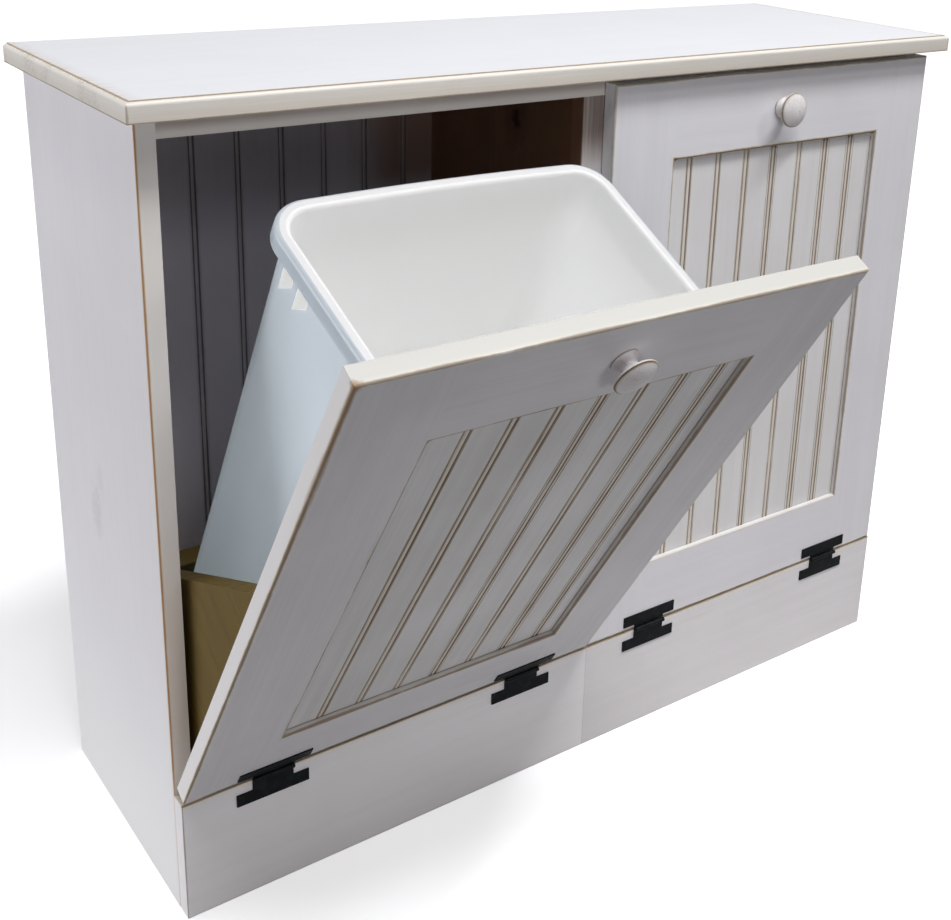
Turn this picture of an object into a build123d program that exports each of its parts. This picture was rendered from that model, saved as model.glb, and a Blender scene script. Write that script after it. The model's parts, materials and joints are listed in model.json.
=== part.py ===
"""Double tilt-out trash cabinet, standing, with its left door open and its right door shut.

Millimetres, +Z up, -Y towards the person who opens the doors. The origin is on the floor, at the
centre of the footprint that the cabinet has with both doors shut.
"""
from build123d import *
import math
import os

os.makedirs("parts", exist_ok=True)

# Case: overall sizes
case_w = 1003.0
case_d = 306.0
case_h = 819.0
board_t = 19.0

# Case: top board and its routed edge
top_t = 19.0
top_side_overhang = 17.0
top_front_overhang = 15.0
top_step_inset = 4.0
top_step_h = 1.0
top_round_r = 4.0

# Case: front frame, back and base
rail_h = 21.5
stile_w = 51.0
back_t = 6.0
back_rabbet_w = 9.5
back_bead_pitch = 53.5
back_bead_start = 8.0
back_rail_h = 60.0
base_h = 137.0
arris_r = 1.2

# Doors
door_t = 19.0
door_top_gap = 7.5
door_play = 0.3
door_side_reveal = 1.5
door_centre_gap = 2.0
door_base_gap = 1.5
door_left_stile_w = 88.0
door_right_stile_w = 83.0
door_top_rail_h = 89.0
door_bottom_rail_h = 87.0
door_arris_r = 2.0
left_recess_drop = 6.0
open_angle = 32.1

# Door panels: beaded board held in a groove
panel_setback = 6.0
panel_t = 5.0
panel_tongue = 8.0
panel_play = 0.3
recess_chamfer = 1.2
recess_corner_r = 7.0
door_bead_pitch = 43.8
door_bead_count = 7
left_bead_shift = 11.0
right_bead_shift = -2.5

# Beads: a round strip between two narrow grooves
bead_w = 5.5
groove_w = 1.8
groove_depth = 1.3
bead_drop = 0.4

# Knobs
knob_r = 20.0
knob_h = 24.5
knob_base_r = 12.8
knob_base_h = 1.6
knob_neck_r = 8.0
knob_neck_h = 8.5
knob_lip_h = 17.2
knob_groove_depth = 1.0

# Hinges, screwed to the front faces
hinge_inset = 95.0
leaf_t = 1.6
leaf_w = 80.0
leaf_bar_h = 13.5
leaf_neck_w = 45.0
leaf_neck_h = 6.5
base_leaf_neck_h = 13.0
knuckle_r = 2.8
knuckle_gap = 0.25
axis_ahead = 3.0
pin_r = 1.5
pin_play = 0.05
pin_end = 0.6
leaf_screw_spread = 30.0

# Screws
leaf_screw_r = 1.5
leaf_screw_head_r = 3.1
leaf_screw_len = 14.0
knob_screw_r = 2.0
knob_screw_head_r = 4.5
knob_screw_head_h = 2.4
knob_screw_grip = 14.0
top_screw_r = 2.0
top_screw_head_r = 4.0
top_screw_head_h = 3.0
top_screw_bite = 13.0
top_screw_edge = 110.0
screw_play = 0.05

# Tilting trays behind the doors
tray_side_play = 6.0
tray_rear_gap = 29.3
tray_top_s = 347.0
tray_top_w = 8.0
tray_slope = 1.4
tray_floor_drop = 95.0
tray_floor_t = 12.0
tray_base_play = 2.0
tray_strip_t = 19.0
tray_front_strip_h = 85.0
tray_back_strip_h = 57.0

# Stop cleats, which the tray sides land on when a door is fully open
cleat_len = 70.0
cleat_h = 22.0
cleat_w = 23.0
cleat_play = 0.5
cleat_from_rear = 8.0

# Waste bins
bin_side_play = 22.0
bin_rear_play = 1.0
bin_h = 635.0
bin_corner_r = 40.0
bin_back_bow = 4.0
left_bin_skew = 0.095
bin_wall = 2.5
bin_rim_inset = 11.0
bin_rim_h = 18.0
bin_rim_t = 2.4
bin_rim_round = 5.0
bin_inner_round = 4.0
bin_taper_side = 8.0
bin_taper_front = 11.0
bin_base_corner_r = 26.0
bin_base_round = 6.0
bin_floor_t = 3.0
bin_seat = 0.3
bin_behind_door = 1.5
left_bin_shift = 25.0

# Cinch slots in one wall of each bin: place ahead of the bin's back, then height below the rim
slot_places = (54.5, 80.0)
slot_w = 18.0
slot_top_drop = 26.0
slot_front_h = 19.0
slot_back_h = 39.0

# Places worked out from the sizes above, measured from the footprint's centre
closed_d = case_d + door_play + door_t
y_back = closed_d / 2
y_case = y_back - case_d
y_door = -closed_d / 2
y_door_back = y_door + door_t
y_panel = y_back - back_t
half_w = case_w / 2
inner_x = half_w - board_t
bay_w = inner_x - stile_w / 2
bay_x = stile_w / 2 + bay_w / 2
door_z = base_h + door_base_gap
door_h = case_h - door_top_gap - door_z
door_w = half_w - door_side_reveal - door_centre_gap / 2
door_x = door_centre_gap / 2 + door_w / 2
hinge_y = y_door - axis_ahead
hinge_z = base_h + door_base_gap / 3
tray_w = bay_w - 2 * tray_side_play
tray_floor_z = hinge_z - tray_floor_drop
tray_rear_y = y_panel - tray_rear_gap
bin_w = tray_w - 2 * board_t - 2 * bin_side_play
bin_d = tray_rear_y - bin_rear_play - y_door_back - bin_behind_door
hinge_axis = Axis((0, hinge_y, hinge_z), (1, 0, 0))


def block(x0, x1, y0, y1, z0, z1):
    """A squared board between six planes."""
    size = Box(x1 - x0, y1 - y0, z1 - z0)
    return Pos((x0 + x1) / 2, (y0 + y1) / 2, (z0 + z1) / 2) * size


def side_piece(outline, x, width):
    """A piece with an outline of y and z values, from a plane at x towards +X."""
    face = make_face(Plane.YZ.offset(x) * Polyline(*outline, close=True))
    return extrude(face, width, dir=(1, 0, 0))


def swung(part):
    """A part that is drawn with its door shut, turned with the door to its open place."""
    turned = [solid.rotate(hinge_axis, open_angle) for solid in part.solids()]
    return turned[0] if len(turned) == 1 else Compound(children=turned)


def edges_on(part, x=None, y=None, z=None):
    """The edges of a part that lie wholly on the planes given."""
    found = []
    for edge in part.edges():
        box = edge.bounding_box()
        spans = ((box.min.X, box.max.X, x), (box.min.Y, box.max.Y, y), (box.min.Z, box.max.Z, z))
        if all(at is None or max(abs(lo - at), abs(hi - at)) < 0.01 for lo, hi, at in spans):
            found.append(edge)
    return found


def soften(part, places, radius=arris_r):
    """Rounds a board's arrises; each place names the two planes that meet there."""
    edges = []
    for place in places:
        edges += edges_on(part, **place)
    return fillet(edges, radius)


def screw(shank_r, head_r, head_h, length):
    """A countersunk wood screw that points down, with the flat of its head at Z = 0."""
    head = Pos(0, 0, -head_h / 2) * Cone(shank_r, head_r, head_h)
    shank = Pos(0, 0, -length / 2) * Cylinder(shank_r, length)
    return head + shank


def screw_hole(shank_r, head_r, head_h, length):
    """The space that such a screw needs, larger than the screw by the named play."""
    return screw(shank_r + screw_play, head_r + screw_play, head_h, length + screw_play)


def beaded_board(x0, x1, y_face, thick, z0, z1, centres):
    """A sheet with upright beads on the side that faces -Y."""
    half = bead_w / 2
    lip = groove_w / 2
    edges = []
    here = (x0, y_face)
    for c in centres:
        corner = (c - half - lip, y_face)
        edges.append(Edge.make_line(here, corner))
        edges.append(Edge.make_line(corner, (c - half, y_face + groove_depth)))
        left = (c - half + lip, y_face + bead_drop)
        right = (c + half - lip, y_face + bead_drop)
        edges.append(Edge.make_line((c - half, y_face + groove_depth), left))
        edges.append(Edge.make_three_point_arc(left, (c, y_face), right))
        edges.append(Edge.make_line(right, (c + half, y_face + groove_depth)))
        here = (c + half + lip, y_face)
        edges.append(Edge.make_line((c + half, y_face + groove_depth), here))
    rim = [here, (x1, y_face), (x1, y_face + thick), (x0, y_face + thick), (x0, y_face)]
    edges += [Edge.make_line(a, b) for a, b in zip(rim, rim[1:])]
    return Pos(0, 0, z0) * extrude(Face(Wire(edges)), z1 - z0)


# The case


def make_top_board():
    """The top: a routed edge at the front and the ends, with a small step above a round."""
    x = half_w + top_side_overhang
    y = y_door - top_front_overhang
    z_step = case_h + top_t - top_step_h
    slab = block(-x, x, y, y_back, case_h, z_step)
    slab = soften(slab, [dict(y=y, z=z_step), dict(x=-x, z=z_step), dict(x=x, z=z_step)], top_round_r)
    inset = top_step_inset
    raised = block(-x + inset, x - inset, y + inset, y_back, z_step, case_h + top_t)
    board = slab + raised
    return drill_for_top(board)


def top_screw_places():
    """Where the top's screws stand: x, y and length; they rise from below the front rail and the back rails."""
    front_y = y_case + board_t / 2
    rear_y = y_panel - board_t / 2
    spots = []
    for x in (-inner_x + top_screw_edge, inner_x - top_screw_edge):
        spots.append((x, front_y, rail_h + top_screw_bite))
        spots.append((x, rear_y, back_rail_h + top_screw_bite))
    return spots


def drill_for_top(part):
    """Opens a rail or the top board for the screws that hold the top."""
    for sx, sy, length in top_screw_places():
        hole = screw_hole(top_screw_r, top_screw_head_r, top_screw_head_h, length)
        part -= Pos(sx, sy, case_h + top_screw_bite - length) * Rot(180, 0, 0) * hole
    return part


def make_top_screws():
    """The screws that hold the top to the rails."""
    group = []
    for sx, sy, length in top_screw_places():
        body = screw(top_screw_r, top_screw_head_r, top_screw_head_h, length)
        group.append(Pos(sx, sy, case_h + top_screw_bite - length) * Rot(180, 0, 0) * body)
    return Compound(children=group)


def make_side(sign):
    """An end board, rabbeted behind for the back panel; its front is square where the base board butts."""
    outer = sign * half_w
    inner = sign * inner_x
    x = sorted((outer, inner))
    foot = soften(block(x[0], x[1], y_case, y_back, 0, base_h), [dict(x=outer, y=y_back)])
    board = block(x[0], x[1], y_case, y_back, base_h, case_h)
    board = soften(board, [dict(x=outer, y=y_case), dict(x=outer, y=y_back)]) + foot
    cut = sorted((inner, inner + sign * back_rabbet_w))
    return board - block(cut[0], cut[1], y_panel, y_back, 0, case_h)


def make_back_panel():
    """The beaded back, let into the end boards."""
    x = inner_x + back_rabbet_w
    count = int((2 * inner_x - back_bead_start) / back_bead_pitch) + 1
    centres = [-half_w + back_bead_start + back_bead_pitch * k for k in range(1, count)]
    return beaded_board(-x, x, y_panel, back_t, 0, case_h, centres)


def make_top_rail():
    """The front rail under the top."""
    return drill_for_top(block(-inner_x, inner_x, y_case, y_case + board_t, case_h - rail_h, case_h))


def make_centre_stile():
    """The front stile between the two bays, which also backs the seam of the base boards."""
    half = stile_w / 2
    return block(-half, half, y_case, y_case + board_t, board_t, case_h - rail_h)


def make_divider(sign):
    """A bare pine board behind the stile, flush with the stile's edge."""
    face = sign * stile_w / 2
    far = face - sign * board_t
    return block(min(face, far), max(face, far), y_case + board_t, y_panel, board_t, case_h)


def make_bottom_board():
    """The case bottom, between the end boards."""
    return block(-inner_x, inner_x, y_case, y_panel, 0, board_t)


def make_base_board(sign):
    """A base board, flush with the doors; the two meet at the middle."""
    ends = sorted((0, sign * half_w))
    front = y_case - door_t
    board = block(ends[0], ends[1], front, y_case, 0, base_h)
    places = [dict(y=front, z=base_h), dict(x=sign * half_w, y=front)]
    board = soften(board, places)
    for x in hinge_places(sign):
        board -= Pos(x, 0, 0) * leaf_screws(-1, hole=True)
    return board


def make_back_rail(sign):
    """A rail behind each bay, under the top."""
    ends = sorted((sign * stile_w / 2, sign * inner_x))
    rail = block(ends[0], ends[1], y_panel - board_t, y_panel, case_h - back_rail_h, case_h)
    return drill_for_top(rail)


def tray_edge(y):
    """The height of a tray side's sloping edge at a depth, with the door shut."""
    return hinge_z + tray_top_s - tray_slope * (y - y_door_back - tray_top_w)


def make_cleat(wall_x, sign):
    """A stop cleat on a bay wall; it lies along the tray's sloping edge when the door is fully open."""
    run = math.hypot(1, tray_slope)
    along = (1 / run, -tray_slope / run)
    up = (tray_slope / run, 1 / run)
    rear = (tray_rear_y, tray_edge(tray_rear_y))
    outline = []
    for back, rise in ((0, 0), (cleat_len, 0), (cleat_len, cleat_h), (0, cleat_h)):
        away = cleat_from_rear + back
        lift = cleat_play + rise
        outline.append((rear[0] - along[0] * away + up[0] * lift, rear[1] - along[1] * away + up[1] * lift))
    start = wall_x if sign > 0 else wall_x - cleat_w
    return swung(side_piece(outline, start, cleat_w))


# Hinges


def hinge_places(sign):
    """The middle of each of a door's two hinges."""
    reach = door_w / 2 - hinge_inset
    return [sign * door_x - reach, sign * door_x + reach]


def leaf_bar_z(side):
    """The middle height of a leaf's bar: side 1 is the door's leaf, side -1 the base board's."""
    neck = leaf_neck_h if side > 0 else base_leaf_neck_h
    return hinge_z + side * (neck + leaf_bar_h / 2)


def leaf_screws(side, hole=False):
    """The two screws of a leaf, or the holes for them, about x = 0."""
    make = screw_hole if hole else screw
    one = make(leaf_screw_r, leaf_screw_head_r, leaf_t, leaf_screw_len)
    aim = Rot(90, 0, 0) * one
    front = y_door - leaf_t if side > 0 else y_case - door_t - leaf_t
    spots = (-leaf_screw_spread, leaf_screw_spread)
    return Compound(children=[Pos(x, front, leaf_bar_z(side)) * aim for x in spots])


def make_leaf(side):
    """One leaf about x = 0: a wide bar, a neck, and knuckles that wrap the pin."""
    face = y_door if side > 0 else y_case - door_t
    y0 = face - leaf_t
    bar_z = leaf_bar_z(side)
    bar_low = bar_z - leaf_bar_h / 2
    bar_high = bar_z + leaf_bar_h / 2
    neck_end = hinge_z + side * (knuckle_r + knuckle_gap)
    neck = sorted((bar_z, neck_end))
    leaf = block(-leaf_w / 2, leaf_w / 2, y0, face, bar_low, bar_high)
    leaf = soften(leaf, [dict(x=-leaf_w / 2, y=y0), dict(x=leaf_w / 2, y=y0)], leaf_t / 3)
    leaf += block(-leaf_neck_w / 2, leaf_neck_w / 2, y0, face, neck[0], neck[1])
    third = leaf_neck_w / 3
    centres = (0,) if side > 0 else (-third, third)
    barrel_len = third - knuckle_gap
    for x in centres:
        wrap = sorted((hinge_z, neck_end + side * knuckle_gap))
        leaf += block(x - barrel_len / 2, x + barrel_len / 2, y0, face - pin_play, wrap[0], wrap[1])
        leaf += Pos(x, hinge_y, hinge_z) * Rot(0, 90, 0) * Cylinder(knuckle_r, barrel_len)
    leaf -= Pos(0, hinge_y, hinge_z) * Rot(0, 90, 0) * Cylinder(pin_r + pin_play, leaf_neck_w)
    return leaf - leaf_screws(side, hole=True)


def make_leaves(sign, side):
    """The two leaves that a door, or the base board below it, carries."""
    return Compound(children=[Pos(x, 0, 0) * make_leaf(side) for x in hinge_places(sign)])


def make_leaf_screws(sign, side):
    """The screws of those two leaves."""
    solids = []
    for x in hinge_places(sign):
        solids += [Pos(x, 0, 0) * one for one in leaf_screws(side).children]
    return Compound(children=solids)


def make_pins(sign):
    """The hinge pins of one door."""
    length = leaf_neck_w + 2 * pin_end
    pin = Rot(0, 90, 0) * Cylinder(pin_r, length)
    return Compound(children=[Pos(x, hinge_y, hinge_z) * pin for x in hinge_places(sign)])


# A door, drawn shut


def recess_limits(sign):
    """The door's front recess: its two sides and its bottom and top; the left door's sits lower."""
    x0 = sign * door_x - door_w / 2 + door_left_stile_w
    x1 = sign * door_x + door_w / 2 - door_right_stile_w
    drop = left_recess_drop if sign < 0 else 0
    return x0, x1, door_z + door_bottom_rail_h - drop, door_z + door_h - door_top_rail_h - drop


def recess_cutter(sign):
    """The chamfer round the recess and the groove that holds the panel."""
    x0, x1, z0, z1 = recess_limits(sign)
    centre = Pos((x0 + x1) / 2, 0, (z0 + z1) / 2)
    wide = x1 - x0
    high = z1 - z0
    grow = 2 * recess_chamfer
    outer = Plane(origin=(0, y_door, 0), z_dir=(0, 1, 0), x_dir=(1, 0, 0))
    inner = Plane(origin=(0, y_door + recess_chamfer, 0), z_dir=(0, 1, 0), x_dir=(1, 0, 0))
    chamfer = loft([outer * Rectangle(wide + grow, high + grow), inner * Rectangle(wide, high)])
    y0 = y_door + panel_setback - panel_play
    y1 = y_door + panel_setback + panel_t + panel_play
    reach = panel_tongue + panel_play
    groove = block(x0 - reach, x1 + reach, y0, y1, z0 - reach, z1 + reach)
    return centre * chamfer, groove


def make_door_stile(sign, edge):
    """An upright of the door; edge -1 is the left one and 1 the right one."""
    outer = sign * door_x + edge * door_w / 2
    inner = recess_limits(sign)[0 if edge < 0 else 1]
    top = door_z + door_h
    x = sorted((outer, inner))
    stile = block(x[0], x[1], y_door, y_door_back, door_z, top)
    places = [dict(x=outer, y=y_door), dict(x=outer, y=y_door_back)]
    places += [dict(y=y_door, z=door_z), dict(y=y_door, z=top), dict(y=y_door_back, z=top)]
    stile = soften(stile, places, door_arris_r)
    for cutter in recess_cutter(sign):
        stile -= cutter
    for hinge_x in hinge_places(sign):
        stile -= Pos(hinge_x, 0, 0) * leaf_screws(1, hole=True)
    return stile


def make_door_rail(sign, level):
    """A cross rail between the stiles; level -1 is the bottom one and 1 the top one."""
    x0, x1, z0, z1 = recess_limits(sign)
    outer = door_z + door_h if level > 0 else door_z
    inner = z1 if level > 0 else z0
    z = sorted((outer, inner))
    rail = block(x0, x1, y_door, y_door_back, z[0], z[1])
    places = [dict(y=y_door, z=outer)]
    if level > 0:
        places.append(dict(y=y_door_back, z=outer))
    rail = soften(rail, places, door_arris_r)
    if level > 0:
        for x, turn in ((x0, 1), (x1, -1)):
            rail += recess_corner(x, z1, turn)
    for cutter in recess_cutter(sign):
        rail -= cutter
    if level > 0:
        rail -= knob_place(sign) * knob_screw_solid(hole=True)
    for hinge_x in hinge_places(sign):
        rail -= Pos(hinge_x, 0, 0) * leaf_screws(1, hole=True)
    return rail


def recess_corner(x, z, turn):
    """The small round left by the router in a top corner of the recess."""
    r = recess_corner_r
    lip = panel_setback - panel_play
    corner = block(min(x, x + turn * r), max(x, x + turn * r), y_door, y_door + lip, z - r, z)
    bite = Pos(x + turn * r, y_door + lip / 2, z - r) * Rot(90, 0, 0) * Cylinder(r, lip)
    return corner - bite


def make_door_panel(sign):
    """The beaded panel, loose in its groove."""
    x0, x1, z0, z1 = recess_limits(sign)
    middle = sign * door_x + (left_bead_shift if sign < 0 else right_bead_shift)
    first = middle - door_bead_pitch * (door_bead_count - 1) / 2
    centres = [first + door_bead_pitch * k for k in range(door_bead_count)]
    y = y_door + panel_setback
    t = panel_tongue
    return beaded_board(x0 - t, x1 + t, y, panel_t, z0 - t, z1 + t, centres)


def knob_place(sign):
    """The knob's seat: the middle of the top rail's face, looking out of the door."""
    z = (recess_limits(sign)[3] + door_z + door_h) / 2
    return Pos(sign * door_x, y_door, z) * Rot(90, 0, 0)


def knob_screw_solid(hole=False):
    """The screw that comes through the door into the knob, or the space for it."""
    make = screw_hole if hole else screw
    length = door_t + knob_screw_grip
    body = make(knob_screw_r, knob_screw_head_r, knob_screw_head_h, length)
    return Pos(0, 0, -door_t) * Rot(180, 0, 0) * body


def make_knob():
    """A turned knob on its seat at the origin, looking along +Z, bored for its screw."""
    bore_r = knob_screw_r + screw_play
    bore_h = knob_screw_grip + screw_play
    edge_h = knob_lip_h + knob_groove_depth
    rim_r = knob_r - knob_groove_depth / 2
    rim_h = edge_h + knob_groove_depth / 2
    rise = knob_h - rim_h
    dome_r = (rim_r**2 + rise**2) / (2 * rise)
    half_turn = math.asin(rim_r / dome_r) / 2
    crown = (dome_r * math.sin(half_turn), knob_h - dome_r * (1 - math.cos(half_turn)))
    flare = [
        (knob_base_r, knob_base_h),
        (knob_neck_r + 1, (knob_base_h + knob_neck_h) / 2),
        (knob_neck_r, knob_neck_h),
        (knob_neck_r + 4, (knob_neck_h + knob_lip_h) / 2),
        (rim_r, knob_lip_h - knob_groove_depth),
    ]
    outline = [
        Edge.make_line((bore_r, 0), (knob_base_r, 0)),
        Edge.make_line((knob_base_r, 0), flare[0]),
        Edge.make_spline(flare),
        Edge.make_three_point_arc(flare[-1], (knob_r, knob_lip_h), (rim_r, edge_h - knob_groove_depth / 4)),
        Edge.make_line((rim_r, edge_h - knob_groove_depth / 4), (rim_r - knob_groove_depth, edge_h)),
        Edge.make_line((rim_r - knob_groove_depth, edge_h), (rim_r, rim_h)),
        Edge.make_three_point_arc((rim_r, rim_h), crown, (0, knob_h)),
        Edge.make_line((0, knob_h), (0, bore_h)),
        Edge.make_line((0, bore_h), (bore_r, bore_h)),
        Edge.make_line((bore_r, bore_h), (bore_r, 0)),
    ]
    return revolve(Plane.XZ * Face(Wire(outline)), Axis.Z)


# The tray that a door carries


def make_tray_side(sign, edge):
    """A tapered tray side of bare pine, its foot clear of the base board."""
    outer = sign * bay_x + edge * tray_w / 2
    start = min(outer, outer - edge * board_t)
    foot = y_door_back + tray_base_play
    low = tray_floor_z - tray_floor_t
    top = hinge_z + tray_top_s
    outline = [
        (foot, low),
        (tray_rear_y, low),
        (tray_rear_y, tray_edge(tray_rear_y)),
        (y_door_back + tray_top_w, top),
        (y_door_back, top),
        (y_door_back, door_z),
        (foot, door_z),
    ]
    return side_piece(outline, start, board_t)


def tray_inside(sign):
    """The two faces between the tray sides."""
    half = tray_w / 2 - board_t
    return sign * bay_x - half, sign * bay_x + half


def make_tray_floor(sign):
    """The tray floor, between the tray sides."""
    x0, x1 = tray_inside(sign)
    return block(x0, x1, y_door_back + tray_base_play, tray_rear_y, tray_floor_z - tray_floor_t, tray_floor_z)


def make_tray_front_strip(sign):
    """The strip that stands on the tray floor behind the base board."""
    x0, x1 = tray_inside(sign)
    y0 = y_door_back + tray_base_play
    return block(x0, x1, y0, y0 + tray_strip_t, tray_floor_z, tray_floor_z + tray_front_strip_h)


def make_tray_back_strip(sign):
    """The low strip that keeps the bin in the tray."""
    x0, x1 = tray_inside(sign)
    y0 = tray_rear_y - tray_strip_t
    return block(x0, x1, y0, tray_rear_y, tray_floor_z, tray_floor_z + tray_back_strip_h)


# The waste bin


def bin_outline(wide, deep, corner, skew, bow):
    """A rounded outline: its back bows outward, and its sides lean towards +X at the front by skew."""
    side = deep / 2
    lean = skew * side
    front = (-wide / 2 + lean, -side), (wide / 2 + lean, -side)
    back = (wide / 2 - lean, side - bow), (-wide / 2 - lean, side - bow)
    edges = [
        Edge.make_line(front[0], front[1]),
        Edge.make_line(front[1], back[0]),
        Edge.make_three_point_arc(back[0], (-lean, side), back[1]),
        Edge.make_line(back[1], front[0]),
    ]
    face = Sketch() + Face(Wire(edges))
    return fillet(face.vertices(), corner)


def bin_level(height, grow, skew):
    """The bin's outline at a height above its base, made larger on every side by grow."""
    share = height / bin_h
    wide = bin_w - 2 * bin_rim_inset - 2 * bin_taper_side * (1 - share)
    deep = bin_d - 2 * bin_rim_inset - 2 * bin_taper_front * (1 - share)
    corner = bin_base_corner_r + (bin_corner_r - bin_rim_inset - bin_base_corner_r) * share
    bow = bin_back_bow * (1 + share) / 2
    outline = bin_outline(wide + 2 * grow, deep + 2 * grow, corner + grow, skew * share, bow)
    return Pos(0, 0, height) * outline


def make_bin(skew):
    """A thin tapered bin with a rolled rim, its base centre at the origin; skew racks its mouth."""
    body = loft([bin_level(0, 0, skew), bin_level(bin_h, 0, skew)])
    body = fillet(edges_on(body, z=0), bin_base_round)
    low = Pos(0, 0, bin_h - bin_rim_h)
    rim = extrude(low * bin_outline(bin_w, bin_d, bin_corner_r, skew, bin_back_bow), bin_rim_h)
    rim = fillet(edges_on(rim, z=bin_h), bin_rim_round)
    t = bin_rim_t
    under = bin_outline(bin_w - 2 * t, bin_d - 2 * t, bin_corner_r - t, skew, bin_back_bow)
    rim -= extrude(low * under, bin_rim_h - t)
    hollow = loft([bin_level(bin_floor_t, -bin_wall, skew), bin_level(bin_h, -bin_wall, skew)])
    shell = rim + body - hollow
    shell = fillet(bin_mouth_edges(shell), bin_inner_round)
    for place in slot_places:
        shell -= make_slot(place)
    return shell


def bin_mouth_edges(shell):
    """The edges of the bin's mouth, at the inside of the rim."""
    top = [face for face in shell.faces() if abs(face.bounding_box().min.Z - bin_h) < 0.01]
    return top[0].inner_wires().edges()


def make_slot(place):
    """A wedge-shaped cinch slot through the bin's left wall, at a place ahead of the bin's back."""
    middle = bin_d / 2 - place
    top = bin_h - slot_top_drop
    y0 = middle - slot_w / 2
    y1 = middle + slot_w / 2
    outline = [(y0, top), (y1, top), (y1, top - slot_back_h), (y0, top - slot_front_h)]
    return side_piece(outline, -bin_w / 2, 2 * bin_rim_inset + bin_taper_side)


def place_bin(sign, shift, skew):
    """A bin standing in its tray, with the door shut."""
    y = y_door_back + bin_behind_door + bin_d / 2
    return Pos(sign * bay_x + shift, y, tray_floor_z + bin_seat) * make_bin(skew)


# Every node


def make_door_nodes(side, sign):
    """The pieces that one door carries, with the door shut."""
    return {
        f"{side}_door_stile_left": make_door_stile(sign, -1),
        f"{side}_door_stile_right": make_door_stile(sign, 1),
        f"{side}_door_top_rail": make_door_rail(sign, 1),
        f"{side}_door_bottom_rail": make_door_rail(sign, -1),
        f"{side}_door_panel": make_door_panel(sign),
        f"{side}_knob": knob_place(sign) * make_knob(),
        f"{side}_knob_screw": knob_place(sign) * knob_screw_solid(),
        f"{side}_tray_side_left": make_tray_side(sign, -1),
        f"{side}_tray_side_right": make_tray_side(sign, 1),
        f"{side}_tray_floor": make_tray_floor(sign),
        f"{side}_tray_front_strip": make_tray_front_strip(sign),
        f"{side}_tray_back_strip": make_tray_back_strip(sign),
        f"{side}_door_hinge_leaves": make_leaves(sign, 1),
        f"{side}_door_hinge_screws": make_leaf_screws(sign, 1),
    }


def make_case_nodes():
    """The pieces that stay put."""
    nodes = {
        "top_board": make_top_board(),
        "back_panel": make_back_panel(),
        "top_rail": make_top_rail(),
        "centre_stile": make_centre_stile(),
        "bottom_board": make_bottom_board(),
        "top_screws": make_top_screws(),
    }
    for side, sign in (("left", -1), ("right", 1)):
        nodes[f"{side}_side_board"] = make_side(sign)
        nodes[f"{side}_divider"] = make_divider(sign)
        nodes[f"{side}_base_board"] = make_base_board(sign)
        nodes[f"{side}_back_rail"] = make_back_rail(sign)
        nodes[f"{side}_outer_stop_cleat"] = make_cleat(sign * inner_x, -sign)
        nodes[f"{side}_inner_stop_cleat"] = make_cleat(sign * stile_w / 2, sign)
        nodes[f"{side}_base_hinge_leaves"] = make_leaves(sign, -1)
        nodes[f"{side}_base_hinge_screws"] = make_leaf_screws(sign, -1)
        nodes[f"{side}_hinge_pins"] = make_pins(sign)
    return nodes


nodes = make_case_nodes()
for name, solid in make_door_nodes("right", 1).items():
    nodes[name] = solid
nodes["right_bin"] = place_bin(1, 0, 0)
for name, solid in make_door_nodes("left", -1).items():
    nodes[name] = swung(solid)
nodes["left_bin"] = swung(place_bin(-1, left_bin_shift, left_bin_skew))

for name, solid in nodes.items():
    export_step(solid, f"parts/{name}.step")
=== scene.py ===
"""The looks of a double tilt-out trash cabinet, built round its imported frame.

Every length is in metres unless its name ends in _mm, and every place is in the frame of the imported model.
"""

import json
import logging
import math
from dataclasses import dataclass, field
from enum import Enum

import bpy
from mathutils import Matrix, Vector


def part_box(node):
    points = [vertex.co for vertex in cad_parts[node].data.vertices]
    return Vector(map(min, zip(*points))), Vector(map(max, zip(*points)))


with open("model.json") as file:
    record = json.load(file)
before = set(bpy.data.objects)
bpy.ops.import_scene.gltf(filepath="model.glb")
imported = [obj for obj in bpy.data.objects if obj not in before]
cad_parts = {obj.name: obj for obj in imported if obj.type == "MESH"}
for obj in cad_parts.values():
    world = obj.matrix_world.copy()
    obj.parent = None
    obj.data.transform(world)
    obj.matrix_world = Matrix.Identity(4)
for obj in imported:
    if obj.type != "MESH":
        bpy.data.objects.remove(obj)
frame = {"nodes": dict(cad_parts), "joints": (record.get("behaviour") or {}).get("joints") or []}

LOG = logging.getLogger("cabinet")
MM = 0.001
PER_METRE = 1000.0

Colour = tuple[float, float, float]
Socket = bpy.types.NodeSocket
Value = float | Socket


class Grain(Enum):
    """The way that a board's grain, and the brush that painted it, runs."""

    ALONG_X = (0.02, 1.0, 1.0)
    ALONG_Y = (1.0, 0.02, 1.0)
    ALONG_Z = (1.0, 1.0, 0.02)


@dataclass(frozen=True)
class Paint:
    """A brushed paint with a brown glaze left in its grooves and rubbed through at its arrises."""

    name: str
    colour: Colour
    shade: Colour
    glaze: Colour = (0.235, 0.17, 0.10)
    rust: Colour = (0.46, 0.25, 0.11)
    stain: Colour = (0.50, 0.42, 0.32)
    cream: Colour = (0.84, 0.76, 0.62)
    soot: Colour = (0.05, 0.034, 0.025)
    roughness: float = 0.42
    skin: float = 0.10


@dataclass(frozen=True)
class Pine:
    """Bare pine: pale wood between darker rings, with a few knots."""

    name: str
    pale: Colour
    dark: Colour
    roughness: float = 0.62
    ring_scale: float = 26.0
    ring_share: float = 0.42


@dataclass(frozen=True)
class Sides:
    """How strongly a mark shows on each of a rectangle's four sides."""

    left: float
    right: float
    bottom: float
    top: float


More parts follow.
